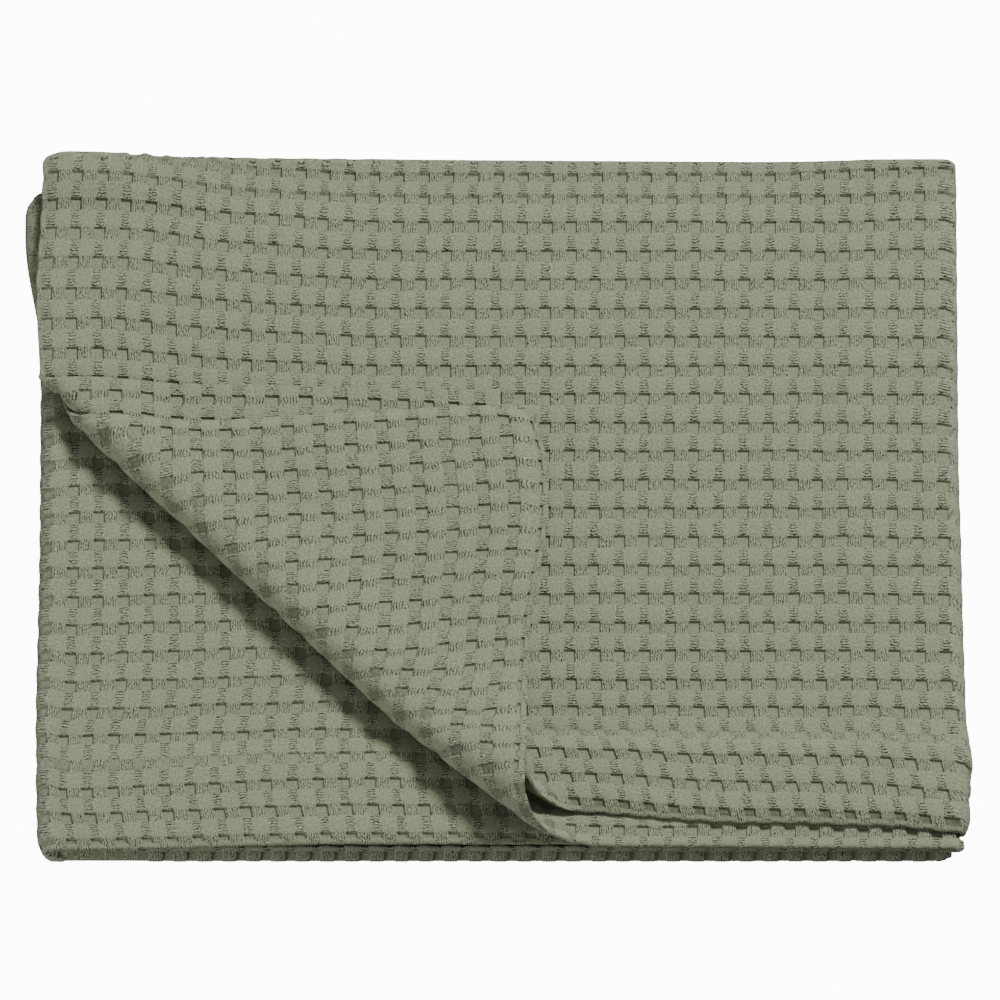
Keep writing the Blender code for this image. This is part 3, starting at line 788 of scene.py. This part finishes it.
def fourth_shift(v, w):
    """Skew of the layer that shows at the left: rows climb to the right."""
    depth = CLOTH_W - w
    along = V3 - v
    dv = 0.0048 * (1.0 - smooth((depth - 0.030) / 0.050)) - 0.0031 * smooth((0.030 - depth) / 0.028)
    climb = 0.0344 * (np.clip(along, 0, 0.111) - 0.070) * smooth(depth / 0.030)
    dw = -(climb + 0.042 * np.clip(depth - 0.076, 0, 0.10)) * smooth((0.290 - depth) / 0.080)
    free = smooth((V3 + 0.003 - v) / 0.012) * smooth((v - V2 - LAP) / 0.060)
    return dv * free, dw * free


# ---------------------------------------------------------------- the layers
def build_top():
    """The uppermost layer, with the back fold and the right fold that it runs into."""
    box = (0.0, V2 + LAP, 0.0, W2 + LAP)
    rv, rw = REPEATS["top"]
    fv = face_lines(0.0, box[1], True, False, TOP_ORIGIN[0], rv, LINES_V, [(0.0, box[1])], 0.004)
    fw = face_lines(0.0, box[3], True, False, TOP_ORIGIN[1], rw, LINES_W, [(0.0, box[3])], 0.004)
    fw = fill_lines(fw, W1 - 0.016, box[3], 0.0010)
    bo = (TOP_ORIGIN[0] + rv / 2, TOP_ORIGIN[1] + rw / 2)
    bv = face_lines(0.0, box[1], True, False, bo[0], rv, LINES_V, [(0.0, 0.022)], 0.0025)
    bw = face_lines(0.0, box[3], True, False, bo[1], rw, LINES_W, [(0.0, 0.215)], 0.003)

    def strip(v, w):
        return smooth((0.021 - v) / 0.002) * smooth((0.21 - w) / 0.005)
    return make_sheet("cloth_top", box, (fv, fw, all_tall), (bv[1:-1], bw[1:-1], strip),
                      TOP_ORIGIN, (rv, rw), top_shift)


def build_under():
    """The second layer: its other side is the face of the turned flap."""
    box = (0.0, V2 + LAP, W2 + LAP, CLOTH_W)
    rv, rw = REPEATS["under"]
    fine_v = [(0.0, 0.240)]
    fine_w = [(CLOTH_W - 0.228, CLOTH_W)]
    fv = face_lines(0.0, box[1], True, False, UNDER_ORIGIN[0], rv, LINES_V, fine_v, 0.005)
    fw = face_lines(box[2], box[3], False, True, UNDER_ORIGIN[1], rw, LINES_W, fine_w, 0.005)
    bo = (UNDER_ORIGIN[0] + rv / 2, UNDER_ORIGIN[1] + rw / 2)
    bv = face_lines(0.0, box[1], True, False, bo[0], rv, LINES_V, [(0.190, box[1])], 0.0025)
    fine_back = [(CLOTH_W - 0.024, CLOTH_W)]
    bw = face_lines(box[2], box[3], False, True, bo[1], rw, LINES_W, fine_back, 0.003)

    def turned(v, w):
        d = CLOTH_W - w
        across = smooth((0.236 - v - 0.93 * d) / 0.008)
        return across * smooth((0.236 - v) / 0.004) * smooth((0.224 - d) / 0.004)

    def strip(v, w):
        return smooth((v - 0.192) / 0.004) * smooth((w - CLOTH_W + 0.023) / 0.002)
    return make_sheet("cloth_under", box, (fv, fw, turned), (bv[1:-1], bw[1:-1], strip),
                      UNDER_ORIGIN, (rv, rw), under_shift)


def build_fourth():
    """The third layer from the top, which shows at the left beside the loop."""
    box = (V2 + LAP, V4 + LAP, W2 + LAP, CLOTH_W)
    rv, rw = REPEATS["fourth"]
    fine_v = [(V3 - 0.245, box[1])]
    fine_w = [(CLOTH_W - 0.215, CLOTH_W)]
    fv = face_lines(box[0], box[1], False, False, FOURTH_ORIGIN[0], rv, LINES_V, fine_v, 0.006)
    fw = face_lines(box[2], box[3], False, True, FOURTH_ORIGIN[1], rw, LINES_W, fine_w, 0.004)
    fv = fill_lines(fv, V3 + 0.002, box[1], 0.0006)
    fw = fill_lines(fw, CLOTH_W - 0.0130, CLOTH_W, 0.0007)
    bv = spaced(box[0], V3 - 0.004, 0.008) + spaced(V3 - 0.004, box[1], 0.0009)
    bv = tidy_lines(bv, box[0], box[1], 0.0005)
    bw = rim_lines(box[2], box[3], False, True) + spaced(box[2], box[3] - 0.013, 0.006)
    bw = tidy_lines(bw + spaced(box[3] - 0.013, box[3], 0.0010), box[2], box[3], 0.0002)

    def seen(v, w):
        near_w = smooth((w - CLOTH_W + 0.214) / 0.003)
        return near_w * smooth((v - V3 + 0.243) / 0.004)
    return make_sheet("cloth_fourth", box, (fv, fw, seen), (bv[1:-1], bw[1:-1], flat_side),
                      FOURTH_ORIGIN, (rv, rw), fourth_shift)


def build_plain(name, box, borders, arcs_v, arcs_w, shown, org=TOP_ORIGIN):
    """A layer that lies between others: fine only where a fold of it shows."""
    lo_v, hi_v, lo_w, hi_w = borders
    fv = face_lines(box[0], box[1], lo_v, hi_v, org[0], REPEAT_V, LINES_V, arcs_v, 0.006)
    fw = face_lines(box[2], box[3], lo_w, hi_w, org[1], REPEAT_W, LINES_W, arcs_w, 0.006)
    if box[2] < W1:
        fw = fill_lines(fw, W1 - 0.002, box[3], 0.0008)
    bv = fv[::2] if len(fv) % 2 else np.append(fv[::2], fv[-1])
    bw = fw[::2] if len(fw) % 2 else np.append(fw[::2], fw[-1])
    return make_sheet(name, box, (fv, fw, shown), (bv[1:-1], bw[1:-1], flat_side),
                      org, (REPEAT_V, REPEAT_W))


def on_lip(v, w):
    """The relief of the lowest layer shows on its lip alone."""
    return smooth((w - CLOTH_W + 0.0095) / 0.0010) * smooth((v - V4 - 0.030) / 0.010)


def build_third():
    box = (V2 + LAP, V4 + LAP, 0.0, W2 + LAP)
    return build_plain("cloth_third", box, (False, False, True, False),
                       [(V3 - 0.004, V4 + LAP)], [(W1 - 0.012, W2 + LAP)], flat_side)


def build_second():
    box = (V4 + LAP, CLOTH_L, 0.0, W2 + LAP)
    return build_plain("cloth_second", box, (False, True, True, False),
                       [], [(W1 - 0.012, W2 + LAP)], flat_side)


def build_bottom():
    box = (V4 + LAP, CLOTH_L, W2 + LAP, CLOTH_W)
    return build_plain("cloth_bottom", box, (False, True, False, True),
                       [(V4 + LAP, CLOTH_L)], [(CLOTH_W - 0.012, CLOTH_W)], on_lip, LIP_ORIGIN)


layers = [build_top(), build_under(), build_fourth()]
layers += [build_third(), build_second(), build_bottom()]


# ---------------------------------------------------------------- material
def math_node(tree, op, a, b=None, clamp=False):
    """A math node; a and b are numbers or sockets."""
    node = tree.nodes.new("ShaderNodeMath")
    node.operation = op
    node.use_clamp = clamp
    for slot, value in ((0, a), (1, b)):
        if value is None:
            continue
        if isinstance(value, (int, float)):
            node.inputs[slot].default_value = value
        else:
            tree.links.new(value, node.inputs[slot])
    return node.outputs[0]


def cotton():
    """Sage green cotton: ribs and yarn drawn from the weave's own coordinates, with painted shade in
    the grooves and recesses.
    """
    mat = bpy.data.materials.new("cotton_waffle")
    mat.use_nodes = True
    tree = mat.node_tree
    shader = tree.nodes["Principled BSDF"]
    shader.inputs["Roughness"].default_value = 0.92
    shader.inputs["Specular IOR Level"].default_value = 0.25
    shader.inputs["Sheen Weight"].default_value = 0.15
    shader.inputs["Sheen Roughness"].default_value = 0.6

    def m(op, a, b=None, clamp=False):
        return math_node(tree, op, a, b, clamp)

    def noise(scale, detail, rough=0.5):
        node = tree.nodes.new("ShaderNodeTexNoise")
        node.inputs["Scale"].default_value = scale
        node.inputs["Detail"].default_value = detail
        node.inputs["Roughness"].default_value = rough
        tree.links.new(flat.outputs[0], node.inputs["Vector"])
        return m("SUBTRACT", node.outputs["Fac"], 0.5)
    attr = tree.nodes.new("ShaderNodeAttribute")
    attr.attribute_name = "weave"
    sep = tree.nodes.new("ShaderNodeSeparateXYZ")
    tree.links.new(attr.outputs["Vector"], sep.inputs[0])
    flat = tree.nodes.new("ShaderNodeCombineXYZ")
    tree.links.new(sep.outputs[0], flat.inputs[0])
    tree.links.new(sep.outputs[1], flat.inputs[1])
    shake = m("ADD", m("MULTIPLY", noise(3.4, 2.0), 0.17), m("MULTIPLY", noise(9.0, 1.0), 0.15))
    patchy = m("ADD", m("MULTIPLY", noise(4.5, 2.0), 3.4), 1.0, True)
    fp = m("FRACT", sep.outputs[0])
    fq = m("FRACT", sep.outputs[1])
    in_p = m("LESS_THAN", fp, RECESS_V)
    in_q = m("LESS_THAN", fq, RECESS_W)
    out_p = m("SUBTRACT", 1.0, in_p)
    out_q = m("SUBTRACT", 1.0, in_q)
    # ribs of the two ribbed blocks, bowed a little across the block
    along_q = m("DIVIDE", m("SUBTRACT", fq, RECESS_W), 1 - RECESS_W)
    across = m("SINE", m("MULTIPLY", fp, math.pi / RECESS_V))
    bow = m("MULTIPLY", across, 0.08)
    phase_h = m("ADD", m("ADD", along_q, shake), bow)
    wave_h = m("ABSOLUTE", m("SINE", m("MULTIPLY", phase_h, 6 * math.pi)))
    along_p = m("DIVIDE", m("SUBTRACT", fp, RECESS_V), 1 - RECESS_V)
    across_v = m("SINE", m("MULTIPLY", fq, math.pi / RECESS_W))
    lean = m("MULTIPLY", m("SUBTRACT", 0.5, along_p), 0.16)
    fan = m("MULTIPLY", m("SUBTRACT", across_v, 0.5), lean)
    phase_v = m("ADD", m("ADD", along_p, m("MULTIPLY", shake, 1.5)), fan)
    wave_v = m("ABSOLUTE", m("SINE", m("MULTIPLY", phase_v, 6 * math.pi)))
    part_h = m("MULTIPLY", in_p, out_q)
    part_v = m("MULTIPLY", out_p, in_q)
    # grooves between the ribs: narrow, strongest beside the recess; they shape the bump and give the
    # painted shade of the colour
    cut_h = m("SUBTRACT", 1.0, m("DIVIDE", wave_h, 0.74), True)
    near_h = m("SUBTRACT", 1.0, m("MULTIPLY", along_q, 0.55))
    ends = m("MULTIPLY", m("SUBTRACT", across, 0.15), 2.2, True)
    cut_h = m("MULTIPLY", m("MULTIPLY", cut_h, near_h), m("MULTIPLY", ends, part_h))
    cut_v = m("SUBTRACT", 1.0, m("DIVIDE", wave_v, 0.66), True)
    cut_v = m("MULTIPLY", m("MULTIPLY", cut_v, part_v), m("MULTIPLY", patchy, 0.80))
    cut = m("ADD", m("MULTIPLY", cut_h, m("ADD", m("MULTIPLY", patchy, 0.6), 0.5)), cut_v)
    ribbed = m("ADD", part_h, part_v)
    yarn = m("MULTIPLY", noise(12.0, 3.0, 0.70), m("ADD", m("MULTIPLY", ribbed, 0.75), 0.70))
    height = m("SUBTRACT", m("MULTIPLY", yarn, 2.6), m("MULTIPLY", cut, 1.6))
    bump = tree.nodes.new("ShaderNodeBump")
    bump.inputs["Strength"].default_value = 0.9
    bump.inputs["Distance"].default_value = 0.00022
    tree.links.new(height, bump.inputs["Height"])
    tree.links.new(bump.outputs["Normal"], shader.inputs["Normal"])
    # colour: painted shade in the grooves, the ribbed blocks a little lighter to make up for it, a
    # fine grain and slow variation over the cloth
    tone = m("SUBTRACT", m("ADD", m("MULTIPLY", ribbed, 0.050), 0.556), m("MULTIPLY", cut, 0.78))
    # subtract the painted shade carried by the weave attribute
    tone = m("SUBTRACT", tone, sep.outputs[2])
    # painted shade on the floors of the recesses
    tone = m("SUBTRACT", tone, m("MULTIPLY", m("MULTIPLY", in_p, in_q), 0.045))
    tone = m("ADD", tone, m("MULTIPLY", noise(0.35, 2.0), 0.06))
    tone = m("ADD", tone, m("MULTIPLY", noise(1.3, 1.0), 0.06))
    tone = m("ADD", tone, m("MULTIPLY", yarn, 1.40))
    mix = tree.nodes.new("ShaderNodeMix")
    mix.data_type = "RGBA"
    mix.inputs["A"].default_value = (0.010, 0.011, 0.006, 1.0)
    mix.inputs["B"].default_value = (0.441, 0.475, 0.309, 1.0)
    tree.links.new(tone, mix.inputs["Factor"])
    tree.links.new(mix.outputs["Result"], shader.inputs["Base Color"])
    return mat


cloth_mat = cotton()

# ---------------------------------------------------------------- floor
floor_mesh = bpy.data.meshes.new("floor")
corners = [(-1, -1), (1, -1), (1, 1), (-1, 1)]
floor_points = [(FLOOR_HALF * i, FLOOR_HALF * j, FLOOR_Z) for i, j in corners]
floor_mesh.from_pydata(floor_points, [], [(0, 1, 2, 3)])
floor = bpy.data.objects.new("floor", floor_mesh)
bpy.context.scene.collection.objects.link(floor)
floor_mat = bpy.data.materials.new("floor_pale")
floor_mat.use_nodes = True
floor_shader = floor_mat.node_tree.nodes["Principled BSDF"]
floor_shader.inputs["Base Color"].default_value = (FLOOR_TONE, FLOOR_TONE, FLOOR_TONE, 1.0)
floor_shader.inputs["Roughness"].default_value = 0.9
floor_shader.inputs["Emission Color"].default_value = (1.0, 1.0, 1.0, 1.0)
floor_shader.inputs["Emission Strength"].default_value = FLOOR_GLOW
floor.visible_diffuse = False
floor.visible_glossy = False
floor.data.materials.append(floor_mat)

for piece in layers:
    piece.data.materials.append(cloth_mat)
    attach(piece, "root")
    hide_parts("blanket")

# ---------------------------------------------------------------- light
world = bpy.data.worlds.new("studio")
bpy.context.scene.world = world
world.use_nodes = True
sky = world.node_tree.nodes["Background"]
sky.inputs["Color"].default_value = (1.0, 1.0, 1.0, 1.0)
sky.inputs["Strength"].default_value = SKY_STRENGTH


def area_light(name, azimuth, elevation, distance, size, power):
    """A round soft light; its azimuth is counted from +Y towards +X, in degrees."""
    data = bpy.data.lights.new(name, "AREA")
    data.shape = "DISK"
    data.size = size
    data.energy = power
    obj = bpy.data.objects.new(name, data)
    a = math.radians(azimuth)
    e = math.radians(elevation)
    x = distance * math.cos(e) * math.sin(a)
    y = distance * math.cos(e) * math.cos(a)
    obj.location = (x, y, distance * math.sin(e))
    obj.rotation_mode = "QUATERNION"
    obj.rotation_quaternion = (-obj.location).to_track_quat("-Z", "Y")
    bpy.context.scene.collection.objects.link(obj)


area_light("key", 34.0, 53.0, 3.6, 0.90, 157.0)
area_light("fill", 229.0, 7.0, 0.9, 0.35, 3.0)

# ---------------------------------------------------------------- camera
cam_data = bpy.data.cameras.new("camera")
cam_data.sensor_width = SENSOR
cam_data.lens = SENSOR * VIEW_DISTANCE / VIEW_WIDTH
cam_data.clip_end = 50.0
camera = bpy.data.objects.new("camera", cam_data)
elev = math.radians(VIEW_ELEVATION)
aim_x = -CENTRE_X
aim_y = VIEW_AIM_Y - CENTRE_Y
camera.location = (aim_x, aim_y - VIEW_DISTANCE * math.cos(elev), VIEW_DISTANCE * math.sin(elev))
camera.rotation_euler = (math.radians(90.0 - VIEW_ELEVATION), 0.0, 0.0)
bpy.context.scene.collection.objects.link(camera)
bpy.context.scene.camera = camera
